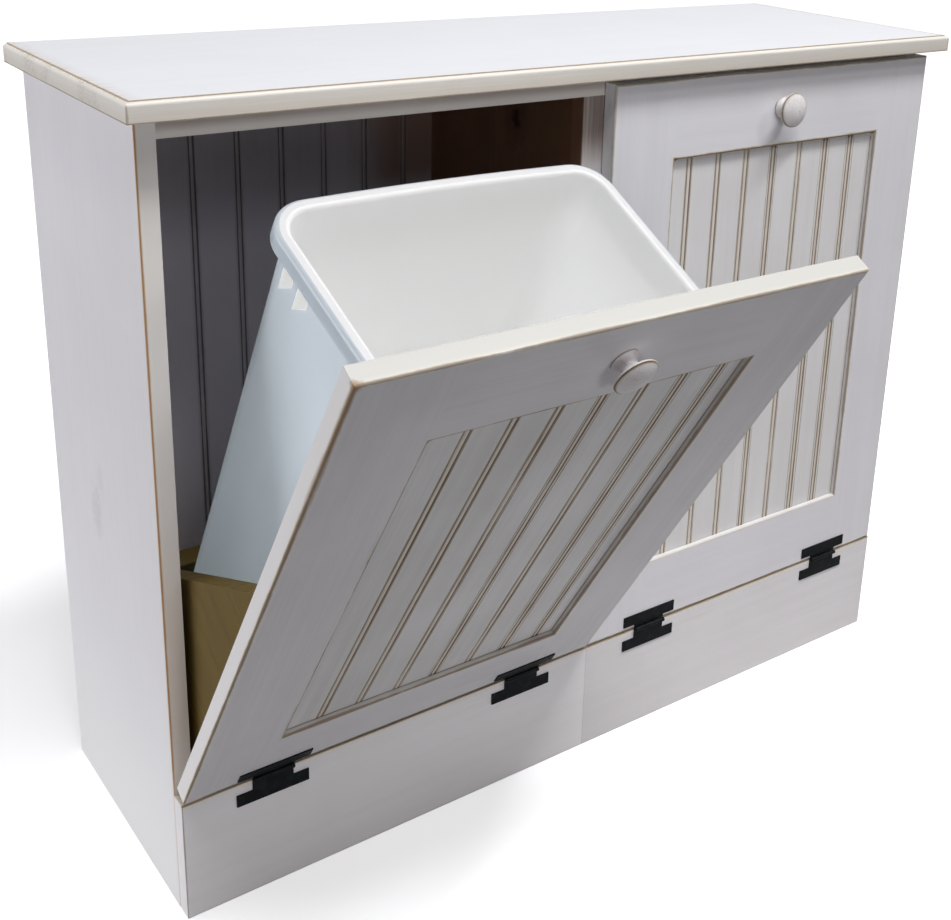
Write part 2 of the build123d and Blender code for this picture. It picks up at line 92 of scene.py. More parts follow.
WHITE = Paint("white_paint", (0.84, 0.825, 0.84), (0.80, 0.785, 0.80))
TOP_WHITE = Paint("top_paint", (0.825, 0.835, 0.86), (0.795, 0.805, 0.825))
DOOR_WHITE = Paint("door_paint", (0.80, 0.79, 0.81), (0.75, 0.74, 0.755))
PANEL_WHITE = Paint("panel_paint", (0.79, 0.78, 0.775), (0.725, 0.71, 0.70))
# A slightly darker copy of the door paint for both knobs: painted shade.
KNOB_SHADED_WHITE = Paint("knob_paint", (0.78, 0.755, 0.755), (0.72, 0.69, 0.685))
# Copies of the white tuned to the light: the left base paler, as painted light where the open door shades it,
# the right base a little darker, as painted shade.
LEFT_BASE_PAINTED_LIGHT = Paint("left_base_painted_light", (0.93, 0.915, 0.915), (0.88, 0.86, 0.86))
RIGHT_BASE_PAINTED_SHADE = Paint("right_base_painted_shade", (0.81, 0.79, 0.79), (0.76, 0.735, 0.735))
# Darker copies of the door and panel paints for the open door: painted shade on its face, which looks down,
# away from the lamps.
OPEN_DOOR_SHADED_WHITE = Paint("open_door_painted_shade", (0.745, 0.74, 0.755), (0.65, 0.645, 0.645))
OPEN_PANEL_SHADED_WHITE = Paint("open_panel_painted_shade", (0.745, 0.745, 0.74), (0.61, 0.61, 0.595))
# A dark brownish copy of the white for the front rail and centre stile: painted shade under the top's
# overhang.
RAIL_PAINTED_SHADE = Paint("rail_painted_shade", (0.50, 0.44, 0.40), (0.40, 0.34, 0.30))
# A dark grey copy of the white for the inside of the back: painted shade inside the bays.
BACK_SHADED_GREY = Paint("back_painted_shade", (0.34, 0.295, 0.31), (0.28, 0.24, 0.25), glaze=(0.09, 0.06, 0.05))
DIVIDER_PINE = Pine("divider_pine", (0.215, 0.105, 0.056), (0.115, 0.053, 0.029), ring_share=0.15)
TRAY_PINE = Pine("tray_pine", (0.155, 0.104, 0.024), (0.085, 0.056, 0.014), ring_scale=20.0, ring_share=0.15)


class Graph:
    """Adds nodes to one shader tree; each method gives the output of the node that it adds."""

    def __init__(self, tree: bpy.types.NodeTree) -> None:
        """Takes the tree to build in."""
        self.tree = tree

    def node(self, kind: str, **settings: object) -> bpy.types.Node:
        """Adds a node.

        Args:
            kind: the node's type name, without its ShaderNode part.
            settings: properties to set on it.

        Returns:
            The node.
        """
        made = self.tree.nodes.new("ShaderNode" + kind)
        for name, value in settings.items():
            setattr(made, name, value)
        return made

    def feed(self, socket: Socket, value: Value | Colour) -> None:
        """Gives a socket a number, a colour or another node's output."""
        if isinstance(value, bpy.types.NodeSocket):
            self.tree.links.new(value, socket)
        elif isinstance(value, (int, float)):
            socket.default_value = value
        elif len(value) == 3 and socket.type == "RGBA":
            socket.default_value = (*value, 1.0)
        else:
            socket.default_value = value

    def maths(self, operation: str, *values: Value, clamp: bool = False) -> Socket:
        """One arithmetic step on one, two or three values."""
        made = self.node("Math", operation=operation, use_clamp=clamp)
        for socket, value in zip(made.inputs, values):
            self.feed(socket, value)
        return made.outputs[0]

    def product(self, *values: Value) -> Socket:
        """The product of two or more values."""
        result = values[0]
        for value in values[1:]:
            result = self.maths("MULTIPLY", result, value)
        return result

    def reach(self, across: Value, along: Value) -> Socket:
        """The length of the slope between two distances at right angles."""
        return self.maths("SQRT", self.maths("ADD", self.product(across, across), self.product(along, along)))

    def choose(self, share: Value, first: Value, second: Value) -> Socket:
        """The first value where share is 0, and the second where it is 1."""
        return self.maths("MULTIPLY_ADD", share, self.maths("SUBTRACT", second, first), first)

    def vector(self, operation: str, *values: object) -> Socket:
        """One step of vector arithmetic."""
        made = self.node("VectorMath", operation=operation)
        for socket, value in zip(made.inputs, values):
            self.feed(socket, value)
        return made.outputs["Value"] if operation in ("LENGTH", "DOT_PRODUCT") else made.outputs[0]

    def split(self, value: Socket) -> tuple[Socket, Socket, Socket]:
        """The three parts of a vector."""
        made = self.node("SeparateXYZ")
        self.feed(made.inputs[0], value)
        return made.outputs[0], made.outputs[1], made.outputs[2]

    def mm_from(self, value: Value, start: Value) -> Socket:
        """How far a value in metres lies past a start, in millimetres."""
        return self.maths("MULTIPLY", self.maths("SUBTRACT", value, start), PER_METRE)

    def mix(self, share: Value, first: object, second: object, blend: str = "MIX") -> Socket:
        """A mix of two colours.

        Args:
            share: how much of the second colour shows, from 0 to 1.
            first: a colour or a colour output.
            second: a colour or a colour output.
            blend: the way that the second colour is laid on the first.

        Returns:
            The mixed colour.
        """
        made = self.node("Mix", data_type="RGBA", blend_type=blend, clamp_factor=True)
        self.feed(made.inputs["Factor"], share)
        self.feed(made.inputs[6], first)
        self.feed(made.inputs[7], second)
        return made.outputs[2]

    def noise(self, place: Socket, scale: Value, detail: float = 3.0, rough: float = 0.5) -> Socket:
        """A smooth random value from 0 to 1."""
        made = self.node("TexNoise")
        for name, value in (("Vector", place), ("Scale", scale), ("Detail", detail), ("Roughness", rough)):
            self.feed(made.inputs[name], value)
        return made.outputs["Fac"]

    def step(self, value: Value, low: Value, high: Value, to_low: Value = 0.0,
             to_high: Value = 1.0) -> Socket:
        """A smooth step of a value between two limits."""
        made = self.node("MapRange", interpolation_type="SMOOTHSTEP")
        for name, given in (("Value", value), ("From Min", low), ("From Max", high),
                            ("To Min", to_low), ("To Max", to_high)):
            self.feed(made.inputs[name], given)
        return made.outputs["Result"]

    def fade(self, value: Value, near: Value, far: Value) -> Socket:
        """1 up to a near limit, falling smoothly to 0 at a far one."""
        return self.step(value, near, far, 1.0, 0.0)

    def apart(self, first: Value, second: Value) -> Socket:
        """How far two values lie apart."""
        return self.maths("ABSOLUTE", self.maths("SUBTRACT", first, second))

    def streaks(self, place: Socket, grain: object, scale: float) -> Socket:
        """Fine noise drawn out along the grain."""
        return self.noise(self.vector("MULTIPLY", place, grain), scale, 3.0, 0.7)

    def show(self, shader: bpy.types.Node) -> None:
        """Makes a shader the material's surface."""
        self.feed(self.node("OutputMaterial").inputs["Surface"], shader.outputs["BSDF"])

    def bump(self, height: Value, strength: float, distance: float) -> Socket:
        """A normal bent by a height."""
        made = self.node("Bump")
        made.inputs["Strength"].default_value = strength
        made.inputs["Distance"].default_value = distance
        self.feed(made.inputs["Height"], height)
        return made.outputs["Normal"]

    def use(self, group: bpy.types.NodeTree, **values: object) -> dict[str, Socket]:
        """Places a node group.

        Args:
            group: the group.
            values: its inputs, by name, with _ for a space.

        Returns:
            Its outputs, by name.
        """
        made = self.node("Group", node_tree=group)
        for name, value in values.items():
            self.feed(made.inputs[name.replace("_", " ")], value)
        return {socket.name: socket for socket in made.outputs}


def new_group(name: str, inputs: dict[str, str], outputs: dict[str, str]) -> tuple[Graph, dict, dict]:
    """Starts a shader node group.

    Args:
        name: the group's name.
        inputs: its inputs' names and kinds, Float, Vector or Color.
        outputs: its outputs' names and kinds.

    Returns:
        The graph to build in, its input sockets by name and its output sockets by name.
    """
    tree = bpy.data.node_groups.new(name, "ShaderNodeTree")
    for way, sockets in (("INPUT", inputs), ("OUTPUT", outputs)):
        for socket, kind in sockets.items():
            tree.interface.new_socket(socket, in_out=way, socket_type="NodeSocket" + kind)
    start = tree.nodes.new("NodeGroupInput")
    end = tree.nodes.new("NodeGroupOutput")
    given = {socket.name: socket for socket in start.outputs if socket.name}
    wanted = {socket.name: socket for socket in end.inputs if socket.name}
    return Graph(tree), given, wanted


class Effects:
    """The shader node groups that more than one finish uses, each built once."""

    def __init__(self) -> None:
        """Builds every group."""
        self.rectangle = self.build_rectangle()
        self.beads = self.build_beads()
        self.worn = self.build_worn()
        self.smear = self.build_smear()
        self.spot = self.build_spot()
        self.brush = self.build_brush()
        self.pine = self.build_pine()

    @staticmethod
    def build_rectangle() -> bpy.types.NodeTree:
        """Distances from a rectangle drawn on a face that looks along Y, and a value set side by side.

        Outside is less than 0 inside the rectangle, Deep is how far behind the face a point lies, and Near is
        how far it is from the rectangle's line on the face. All three are in millimetres.
        """
        graph, given, wanted = new_group(
            "rectangle_distance", {"Place": "Vector", "Centre": "Vector", "Half": "Vector", "Left": "Float",
                                   "Right": "Float", "Bottom": "Float", "Top": "Float"},
            {"Outside": "Float", "Deep": "Float", "Near": "Float", "Side": "Float"})
        off = graph.vector("SUBTRACT", given["Place"], given["Centre"])
        x, y, z = graph.split(off)
        past = graph.vector("SUBTRACT", graph.vector("ABSOLUTE", off), given["Half"])
        past_x, _, past_z = graph.split(past)
        outside = graph.product(graph.maths("MAXIMUM", past_x, past_z), PER_METRE)
        deep = graph.product(y, PER_METRE)
        graph.feed(wanted["Outside"], outside)
        graph.feed(wanted["Deep"], deep)
        graph.feed(wanted["Near"], graph.reach(outside, deep))
        beside = graph.choose(graph.maths("GREATER_THAN", x, 0.0), given["Left"], given["Right"])
        above = graph.choose(graph.maths("GREATER_THAN", z, 0.0), given["Bottom"], given["Top"])
        graph.feed(wanted["Side"], graph.choose(graph.maths("GREATER_THAN", past_x, past_z), above, beside))
        return graph.tree

    @staticmethod
    def build_beads() -> bpy.types.NodeTree:
        """Distances from the nearest bead's middle and groove, in millimetres, and a number of its own."""
        graph, given, wanted = new_group(
            "bead_distance", {"Across": "Float", "First": "Float", "Pitch": "Float", "Half Gap": "Float"},
            {"Bead": "Float", "Groove": "Float", "Number": "Float"})
        off = graph.maths("SUBTRACT", given["Across"], given["First"])
        half = graph.product(given["Pitch"], 0.5)
        shifted = graph.maths("ADD", off, half)
        turn = graph.maths("FLOORED_MODULO", shifted, given["Pitch"])
        bead = graph.apart(turn, half)
        groove = graph.apart(bead, given["Half Gap"])
        graph.feed(wanted["Bead"], graph.product(bead, PER_METRE))
        graph.feed(wanted["Groove"], graph.product(groove, PER_METRE))
        count = graph.node("TexWhiteNoise", noise_dimensions="1D")
        graph.feed(count.inputs["W"], graph.maths("FLOOR", graph.maths("DIVIDE", shifted, given["Pitch"])))
        graph.feed(wanted["Number"], count.outputs["Value"])
        return graph.tree

    @staticmethod
    def build_worn() -> bpy.types.NodeTree:
        """A broken line along an arris or a groove, uneven in width and strength."""
        graph, given, wanted = new_group(
            "worn_line", {"Place": "Vector", "Distance": "Float", "Width": "Float", "Break": "Float",
                          "Scale": "Float"}, {"Mask": "Float"})
        coarse = graph.noise(given["Place"], given["Scale"], 4.0, 0.6)
        fine = graph.noise(given["Place"], graph.product(given["Scale"], 9.0), 3.0, 0.6)
        swing = graph.maths("ADD", graph.product(graph.maths("SUBTRACT", coarse, 0.5), 3.4),
                            graph.product(graph.maths("SUBTRACT", fine, 0.5), 0.9))
        share = graph.maths("MULTIPLY_ADD", swing, given["Break"], 1.0)
        width = graph.product(given["Width"], graph.maths("MAXIMUM", share, 0.08))
        line = graph.fade(given["Distance"], graph.product(width, 0.35), width)
        fade = graph.step(share, 0.1, 0.8, 0.35, 1.0)
        graph.feed(wanted["Mask"], graph.product(line, fade))
        return graph.tree

    @staticmethod
    def build_smear() -> bpy.types.NodeTree:
        """Fine streaks of glaze that a cloth dragged along the grain, in patches near a line."""
        graph, given, wanted = new_group(
            "dragged_glaze", {"Place": "Vector", "Grain": "Vector", "Distance": "Float", "Reach": "Float",
                              "Patches": "Float"}, {"Mask": "Float"})
        streaks = graph.step(graph.streaks(given["Place"], given["Grain"], 650.0), 0.46, 0.66)
        patch = graph.step(graph.noise(given["Place"], given["Patches"], 2.0, 0.5), 0.5, 0.66)
        near = graph.fade(given["Distance"], graph.product(given["Reach"], 0.2), given["Reach"])
        graph.feed(wanted["Mask"], graph.product(streaks, patch, near))
        return graph.tree

    @staticmethod
    def build_spot() -> bpy.types.NodeTree:
        """A soft ragged spot round a place."""
        graph, given, wanted = new_group(
            "ragged_spot", {"Place": "Vector", "Middle": "Vector", "Stretch": "Vector", "Radius": "Float",
                            "Ragged": "Float"}, {"Mask": "Float"})
        off = graph.vector("SUBTRACT", given["Place"], given["Middle"])
        off = graph.vector("MULTIPLY", off, given["Stretch"])
        away = graph.product(graph.vector("LENGTH", off), PER_METRE)
        rough = graph.maths("SUBTRACT", graph.noise(given["Place"], 120.0, 4.0, 0.6), 0.5)
        away = graph.maths("ADD", away, graph.product(rough, given["Ragged"], given["Radius"]))
        graph.feed(wanted["Mask"], graph.fade(away, graph.product(given["Radius"], 0.3), given["Radius"]))
        return graph.tree

    @staticmethod
    def build_brush() -> bpy.types.NodeTree:
        """The streaks, cloudiness and fine skin of brushed paint."""
        graph, given, wanted = new_group(
            "brush_marks", {"Place": "Vector", "Grain": "Vector"}, {"Tone": "Float", "Height": "Float"})
        along = graph.vector("MULTIPLY", given["Place"], given["Grain"])
        streaks = graph.noise(along, 420.0, 3.0, 0.65)
        broad = graph.noise(along, 90.0, 2.0, 0.5)
        cloud = graph.noise(given["Place"], 7.0, 4.0, 0.55)
        skin = graph.noise(given["Place"], 900.0, 2.0, 0.5)
        tone = graph.maths("ADD", graph.product(streaks, 0.22), graph.product(broad, 0.28))
        tone = graph.maths("ADD", tone, graph.product(cloud, 0.5))
        height = graph.maths("ADD", graph.product(streaks, 0.7), graph.product(skin, 0.3))
        graph.feed(wanted["Tone"], graph.step(tone, 0.32, 0.68))
        graph.feed(wanted["Height"], height)
        return graph.tree

    @staticmethod
    def build_pine() -> bpy.types.NodeTree:
        """Pine's rings, fibres and blotches."""
        graph, given, wanted = new_group(
            "pine_figure", {"Place": "Vector", "Grain": "Vector", "Scale": "Float", "Ring Share": "Float",
                            "Pale": "Color", "Dark": "Color"},
            {"Color": "Color", "Height": "Float", "Rings": "Float"})
        along = graph.vector("MULTIPLY", given["Place"], given["Grain"])
        bend = graph.noise(given["Place"], 3.0, 2.0, 0.5)
        slow = graph.noise(along, given["Scale"], 1.0, 0.4)
        phase = graph.maths("ADD", graph.product(slow, 7.0), bend)
        rings = graph.step(graph.maths("SINE", graph.product(phase, 2 * math.pi)), -0.5, 1.0)
        fibres = graph.noise(along, 700.0, 3.0, 0.7)
        blotch = graph.noise(given["Place"], 9.0, 4.0, 0.6)
        share = graph.maths("ADD", graph.product(rings, given["Ring Share"]),
                            graph.product(fibres, 0.5))
        share = graph.maths("ADD", share, graph.maths("MULTIPLY_ADD", blotch, 0.7, -0.3), clamp=True)
        graph.feed(wanted["Color"], graph.mix(share, given["Pale"], given["Dark"]))
        graph.feed(wanted["Height"], graph.maths("SUBTRACT", fibres, graph.product(rings, 0.5)))
        graph.feed(wanted["Rings"], rings)
        return graph.tree


@dataclass
class Turn:
    """The turn that carries a door from its rest place to its shut one, for patterns drawn on shut doors."""

    angle: float = 0.0
    pivot: Vector = field(default_factory=Vector)

    def place(self, graph: Graph) -> Socket:
        """The point being shaded, as it lies with the door shut."""
        here = graph.node("TexCoord").outputs["Object"]
        if not self.angle:
            return here
        made = graph.node("Mapping", vector_type="POINT")
        graph.feed(made.inputs["Vector"], here)
        made.inputs["Rotation"].default_value = (-self.angle, 0.0, 0.0)
        made.inputs["Location"].default_value = self.pivot - self.shut_way() @ self.pivot
        return made.outputs["Vector"]

    def normal(self, graph: Graph) -> Socket:
        """The way that the surface being shaded looks, with the door shut."""
        made = graph.node("Mapping", vector_type="VECTOR")
        graph.feed(made.inputs["Vector"], graph.node("TexCoord").outputs["Normal"])
        made.inputs["Rotation"].default_value = (-self.angle, 0.0, 0.0)
        return made.outputs["Vector"]

    def shut_way(self) -> Matrix:
        """The rotation that turns a direction on the open door to the shut door's."""
        return Matrix.Rotation(-self.angle, 3, "X")

    def shut_spot(self, spot: Vector) -> Vector:
        """Where a point of the open door lies with the door shut."""
        return self.shut_way() @ (spot - self.pivot) + self.pivot

    def shut_box(self, names: list[str]) -> tuple[Vector, Vector]:
        """The box that some nodes fill with the door shut.

        Args:
            names: the nodes.

        Returns:
            Its lowest and highest corners.
        """
        spots = []
        for name in names:
            for vertex in frame["nodes"][name].data.vertices:
                spots.append(self.shut_spot(vertex.co))
        low = Vector(min(spot[axis] for spot in spots) for axis in range(3))
        high = Vector(max(spot[axis] for spot in spots) for axis in range(3))
        return low, high


def blank_material(name: str) -> tuple[bpy.types.Material, Graph]:
    """Makes a material with an empty shader tree, and the graph that fills it."""
    material = bpy.data.materials.new(name)
    material.use_nodes = True
    material.node_tree.nodes.clear()
    return material, Graph(material.node_tree)


class PaintedMaterial:
    """One board's painted finish: marks are added to it one by one, and then it is closed."""

    def __init__(self, name: str, paint: Paint, effects: Effects, grain: Grain, turn: Turn) -> None:
        """Starts the finish with brushed paint.

        Args:
            name: the material's name.
            paint: the paint.
            effects: the shared node groups.
            grain: the way that the brush ran.
            turn: the turn to the door's shut place.
        """
        self.paint = paint
        self.effects = effects
        self.grain = grain
        self.material, self.graph = blank_material(name)
        self.place = turn.place(self.graph)
        brush = self.graph.use(effects.brush, Place=self.place, Grain=grain.value)
        self.colour: Socket = self.graph.mix(brush["Tone"], paint.shade, paint.colour)
        self.height: Socket = brush["Height"]
        self.rubbed: Value = 0.0

    def line(self, distance: Socket, width_mm: Value, broken: float, scale: float, strength: Value = 1.0,
             colour: Colour | None = None) -> None:
        """Lays a broken brown line.

        Args:
            distance: how far each point is from the line's middle, in millimetres.
            width_mm: half the line's width.
            broken: how uneven it is, from 0 to 1.
            scale: how often it changes, per metre.
            strength: how strongly it shows.
            colour: its colour, where that isn't the paint's glaze.
        """
        graph = self.graph
        mask = graph.use(self.effects.worn, Place=self.place, Distance=distance, Width=width_mm,
                         Break=broken, Scale=scale)["Mask"]
        mask = graph.product(mask, strength)
        self.colour = graph.mix(mask, self.colour, colour or self.paint.glaze)
        self.rubbed = graph.maths("MAXIMUM", self.rubbed, mask)

    def tint(self, mask: Value, colour: Colour, strength: Value = 1.0) -> None:
        """Lays a colour where a mask says."""
        self.colour = self.graph.mix(self.graph.product(mask, strength), self.colour, colour)

    def smear(self, distance: Socket, reach_mm: float, patches: float, strength: Value) -> None:
        """Drags glaze along the grain near a line."""
        mask = self.graph.use(self.effects.smear, Place=self.place, Grain=self.grain.value, Distance=distance,
                              Reach=reach_mm, Patches=patches)["Mask"]
        self.tint(mask, self.paint.glaze, strength)

    def spot(self, middle: Vector, radius_mm: float, colour: Colour, strength: float,
             stretch: Vector = Vector((1, 1, 1))) -> None:
        """Lays a ragged spot."""
        mask = self.graph.use(self.effects.spot, Place=self.place, Middle=middle, Stretch=stretch,
                              Radius=radius_mm, Ragged=1.4)["Mask"]
        self.tint(mask, colour, strength)

    def rectangle(self, centre: Vector, half: Vector, sides: Sides) -> dict[str, Socket]:
        """The distances from a rectangle, with a strength for each of its sides."""
        return self.graph.use(self.effects.rectangle, Place=self.place, Centre=centre, Half=half,
                              Left=sides.left, Right=sides.right, Bottom=sides.bottom, Top=sides.top)

    def close(self) -> bpy.types.Material:
        """Joins the finish to its shader.

        Returns:
            The material.
        """
        graph = self.graph
        shader = graph.node("BsdfPrincipled")
        graph.feed(shader.inputs["Base Color"], self.colour)
        rough = graph.maths("MULTIPLY_ADD", self.height, 0.12, self.paint.roughness - 0.06)
        rough = graph.maths("MULTIPLY_ADD", self.rubbed, 0.22, rough)
        graph.feed(shader.inputs["Roughness"], rough)
        shader.inputs["Specular IOR Level"].default_value = 0.35
        worn = graph.maths("MULTIPLY_ADD", self.rubbed, -0.6, self.height)
        graph.feed(shader.inputs["Normal"], graph.bump(worn, self.paint.skin, 0.0006))
        graph.show(shader)
        return self.material


def wear_material(node: str, material: bpy.types.Material) -> None:
    """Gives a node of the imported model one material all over."""
    mesh = frame["nodes"][node].data
    mesh.materials.clear()
    mesh.materials.append(material)


def pine_material(name: str, pine: Pine, effects: Effects, grain: Grain, turn: Turn, shift: Vector,
                  knot: Vector | None = None) -> bpy.types.Material:
    """Bare pine.

    Args:
        name: the material's name.
        pine: the wood.
        effects: the shared node groups.
        grain: the way that its grain runs.
        turn: the turn to the door's shut place.
        shift: where in the tree the board was cut, so that no two look alike.
        knot: where a dark knot shows, if one does.

    Returns:
        The material.
    """
    material, graph = blank_material(name)
    here = turn.place(graph)
    figure = graph.use(effects.pine, Place=graph.vector("ADD", here, shift), Grain=grain.value,
                       Scale=pine.ring_scale, Ring_Share=pine.ring_share, Pale=pine.pale, Dark=pine.dark)
    colour = figure["Color"]
    if knot:
        for radius, dark, strength in ((34.0, pine.dark, 0.7), (11.0, (0.012, 0.006, 0.004), 0.9)):
            mask = graph.use(effects.spot, Place=here, Middle=knot, Stretch=Vector((1.0, 1.0, 0.75)),
                             Radius=radius, Ragged=1.2)["Mask"]
            colour = graph.mix(graph.product(mask, strength), colour, dark)
    shader = graph.node("BsdfPrincipled")
    graph.feed(shader.inputs["Base Color"], colour)
    rough = graph.maths("MULTIPLY_ADD", figure["Rings"], -0.12, pine.roughness)
    graph.feed(shader.inputs["Roughness"], rough)
    shader.inputs["Specular IOR Level"].default_value = 0.18
    graph.feed(shader.inputs["Normal"], graph.bump(figure["Height"], 0.2, 0.0007))
    graph.show(shader)
    return material


@dataclass
class Case:
    """The standing case: top, sides, back, frame, dividers and base."""

    effects: Effects
    step_inset_mm: float = 4.0
    back_bead_first: float = -0.440
    back_bead_pitch: float = 0.0535
    bead_half_gap: float = 0.00275
    edge_cream: Colour = (0.71, 0.675, 0.61)
    front_cream: Colour = (0.80, 0.765, 0.69)
    front_peach: Colour = (0.86, 0.76, 0.67)
    peach_rise: tuple[float, float] = (0.30, 0.62)
    step_brown: Colour = (0.36, 0.29, 0.21)
    scuff_brown: Colour = (0.42, 0.31, 0.22)
    # Painted shadow from the top's overhang high on the end boards' outer faces, and painted light near their
    # feet.
    side_painted_shadow: Colour = (0.62, 0.57, 0.60)
    side_painted_shadow_rise: tuple[float, float] = (0.70, 0.80)
    side_painted_light: Colour = (0.95, 0.95, 0.94)
    side_painted_light_fall: tuple[float, float] = (0.42, 0.02)
    knot_grey: Colour = (0.56, 0.53, 0.55)
    knot_trail: Colour = (0.60, 0.57, 0.58)
    # Painted light low down and painted shadow high up, on the front rail and the centre stile under the
    # top's overhang.
    rail_painted_light: Colour = (0.88, 0.83, 0.76)
    rail_painted_shadow: Colour = (0.10, 0.06, 0.04)
    stile_painted_light: Colour = (0.80, 0.775, 0.785)
    stile_painted_light_fall: tuple[float, float] = (0.765, 0.70)
    stile_painted_shadow: Colour = (0.22, 0.165, 0.145)
    stile_painted_shadow_rise: tuple[float, float] = (0.70, 0.77)
    back_outside: Colour = (0.80, 0.745, 0.77)
    # Painted light low on the back's inside face, and painted brown bounce from the bare divider beside it.
    back_painted_light: Colour = (0.92, 0.855, 0.885)
    back_painted_light_fall: tuple[float, float] = (0.71, 0.58)
    back_painted_bounce: Colour = (0.19, 0.105, 0.065)
    back_painted_bounce_rise: tuple[float, float] = (0.60, 0.67)
    side_knot: Vector = field(default_factory=lambda: Vector((-0.5015, 0.033, 0.374)))
    divider_knot: Vector = field(default_factory=lambda: Vector((-0.0255, -0.0216, 0.752)))

    def dress(self) -> None:
        """Dresses every piece of the case."""
        self.dress_top()
        self.dress_sides()
        self.dress_front()
        self.dress_base()
        self.dress_back()
        self.dress_bare_boards()

    def painted(self, node: str, paint: Paint, grain: Grain) -> PaintedMaterial:
        """Starts a painted finish for one node."""
        return PaintedMaterial(f"{node}_finish", paint, self.effects, grain, Turn())

    def dress_top(self) -> None:
        """Paints the top, with its glaze line along the routed step and a cream front."""
        low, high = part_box("top_board")
        finish = self.painted("top_board", TOP_WHITE, Grain.ALONG_X)
        graph = finish.graph
        x, y, z = graph.split(finish.place)
        ends = graph.mm_from(high.x, graph.maths("ABSOLUTE", x))
        front = graph.mm_from(y, low.y)
        rim = graph.maths("MINIMUM", ends, front)
        below = graph.mm_from(high.z, z)
        streaks = graph.streaks(finish.place, Grain.ALONG_X.value, 500.0)
        covered = graph.step(streaks, 0.3, 0.6, 0.6, 1.0)
        beyond = graph.fade(rim, self.step_inset_mm - 0.4, self.step_inset_mm + 0.4)
        finish.tint(beyond, self.front_cream, covered)
        finish.tint(graph.fade(front, 0.2, 0.6), self.edge_cream, covered)
        shaded = graph.step(below, 5.0, 17.0, 0.0, 0.28)
        finish.tint(graph.product(beyond, shaded), finish.paint.stain)
        upper = graph.step(below, 2.4, 1.2)
        # Cream on the rounded edge beyond the step, near the top surface: painted highlight.
        finish.tint(graph.product(graph.fade(rim, 4.0, 9.0), upper), finish.paint.cream, 0.45)
        step_line = graph.apart(rim, self.step_inset_mm)
        finish.line(step_line, 1.15, 0.35, 18.0, graph.product(upper, 0.75), self.step_brown)
        # Glaze line along the top's lower arris, partly standing in as painted shade under the top.
        lower = graph.reach(rim, graph.mm_from(z, low.z))
        finish.line(lower, 1.5, 0.35, 18.0, 0.8)
        corner = graph.reach(front, ends)
        finish.line(corner, 2.0, 0.6, 60.0, 0.55)
        finish.smear(ends, 5.0, 22.0, 0.5)
        scuffed = graph.product(graph.fade(ends, 4.0, 22.0), upper, graph.step(streaks, 0.50, 0.58))
        finish.tint(scuffed, self.scuff_brown, 0.6)
        wear_material("top_board", finish.close())
        LOG.info("top board painted")

    def dress_sides(self) -> None:
        """Paints the end boards, rubbed through to a rusty line down the outer front arris."""
        for side in ("left", "right"):
            node = f"{side}_side_board"
            low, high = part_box(node)
            finish = self.painted(node, WHITE, Grain.ALONG_Z)
            graph = finish.graph
            x, y, z = graph.split(finish.place)
            outward = graph.mm_from(max(abs(low.x), abs(high.x)), graph.maths("ABSOLUTE", x))
            front = graph.mm_from(y, low.y)
            face = graph.fade(front, 0.3, 0.9)
            finish.tint(face, self.front_cream, 0.6)
            peach = graph.product(face, graph.step(z, *self.peach_rise, 1.0, 0.35))
            finish.tint(peach, self.front_peach, 0.6)
            flat = graph.step(front, 2.0, 4.0)
            # A mauve band high up is painted shadow from the overhang; a paler band low down is painted
            # light.
            finish.tint(graph.product(flat, graph.step(z, *self.side_painted_shadow_rise)), self.side_painted_shadow, 0.25)
            finish.tint(graph.product(flat, graph.step(z, *self.side_painted_light_fall)), self.side_painted_light, 0.8)
            arris = graph.reach(outward, front)
            finish.tint(graph.fade(arris, 1.0, 6.0), finish.paint.cream, 0.4)
            finish.line(arris, 2.3, 0.3, 11.0, graph.step(z, 0.12, 0.17, 0.3, 0.95), finish.paint.rust)
            foot = graph.reach(outward, graph.mm_from(z, low.z))
            finish.line(foot, 1.6, 0.7, 20.0, 0.5, finish.paint.rust)
            rear = graph.reach(outward, graph.mm_from(high.y, y))
            finish.line(rear, 1.2, 0.6, 16.0, 0.3, finish.paint.rust)
            if side == "left":
                stretch = Vector((1.0, 1.0, 0.5))
                trail = self.side_knot + Vector((0.0, -0.018, 0.043))
                finish.spot(self.side_knot, 20.0, self.knot_grey, 0.28, stretch)
                finish.spot(trail, 12.0, self.knot_trail, 0.2, stretch)
            wear_material(node, finish.close())
        LOG.info("end boards painted")

    def dress_front(self) -> None:
        """Paints the front rail and the centre stile, whose sides stay bare, with painted light low down and
        painted shadow under the top.
        """
        low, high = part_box("top_rail")
        finish = self.painted("top_rail", RAIL_PAINTED_SHADE, Grain.ALONG_X)
        graph = finish.graph
        _, _, z = graph.split(finish.place)
        # Lighter at the rail's foot as painted light, dark brown just under the top as painted shadow.
        finish.tint(graph.fade(graph.mm_from(z, low.z), 3.0, 13.0), self.rail_painted_light, 0.8)
        finish.tint(graph.fade(graph.mm_from(high.z, z), 1.0, 8.0), self.rail_painted_shadow, 0.9)
        wear_material("top_rail", finish.close())
        low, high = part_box("centre_stile")
        finish = self.painted("centre_stile", RAIL_PAINTED_SHADE, Grain.ALONG_Z)
        graph = finish.graph
        x, y, z = graph.split(finish.place)
        inward = graph.mm_from(high.x, graph.maths("ABSOLUTE", x))
        deep = graph.mm_from(y, low.y)
        streaks = graph.streaks(finish.place, Grain.ALONG_Z.value, 260.0)
        covered = graph.step(streaks, 0.35, 0.6, 0.75, 1.0)
        # Lighter below as painted light, and streaky brown high up as painted shadow under the top.
        finish.tint(graph.step(z, *self.stile_painted_light_fall), self.stile_painted_light, covered)
        worn = graph.product(graph.step(z, *self.stile_painted_shadow_rise), graph.step(streaks, 0.30, 0.62))
        finish.tint(worn, self.stile_painted_shadow, 0.8)
        finish.line(graph.reach(inward, deep), 1.3, 0.5, 14.0, 0.5)
        bare = graph.product(graph.fade(inward, 0.1, 0.5), graph.step(deep, 1.0, 2.0))
        finish.tint(bare, DIVIDER_PINE.pale)
        wear_material("centre_stile", finish.close())
        LOG.info("front frame painted")

